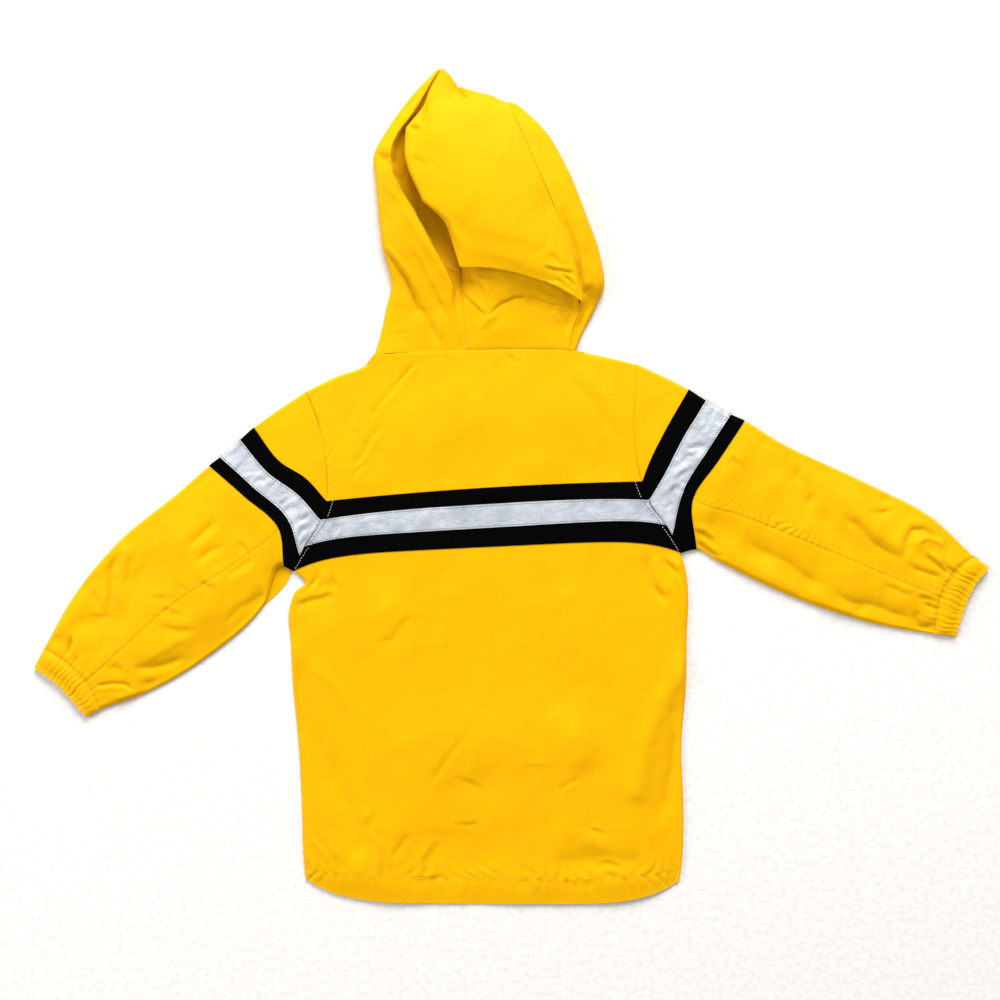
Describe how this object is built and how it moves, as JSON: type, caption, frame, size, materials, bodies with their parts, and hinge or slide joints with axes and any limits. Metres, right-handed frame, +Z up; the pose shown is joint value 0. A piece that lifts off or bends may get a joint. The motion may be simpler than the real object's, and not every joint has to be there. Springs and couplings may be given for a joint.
{
  "type": "hooded raincoat",
  "caption": "Child's hooded raincoat laid flat on its front, back up, with a dark band and reflective tape across the back and sleeves, gathered cuffs and a slumped hood",
  "frame": {"origin": "Middle of the coat's outline in plan, on the surface that it lies on.", "axes": "+X is to the right of the picture, along the sleeves; +Y runs from the hem to the hood; +Z is up, out of the back of the coat."},
  "size_m": [0.953, 0.8348, 0.0293],
  "materials": {
    "yellow_cloth": "coated woven cloth with a soft sheen",
    "black_trim": "matte woven trim",
    "silver_tape": "silver reflective tape"
  },
  "bodies": {
    "root": {"back": "yellow_cloth", "back_band": "black_trim", "back_tape": "silver_tape", "front_left": "yellow_cloth", "front_flap": "yellow_cloth", "front_right": "yellow_cloth", "sleeve_left_front": "yellow_cloth", "sleeve_left_back": "yellow_cloth", "sleeve_left_band": "black_trim", "sleeve_left_tape": "silver_tape", "sleeve_right_front": "yellow_cloth", "sleeve_right_back": "yellow_cloth", "sleeve_right_band": "black_trim", "sleeve_right_tape": "silver_tape", "cuff_left": "yellow_cloth", "cuff_right": "yellow_cloth", "hood_left": "yellow_cloth", "hood_centre": "yellow_cloth", "hood_right": "yellow_cloth"}
  },
  "joints": []
}
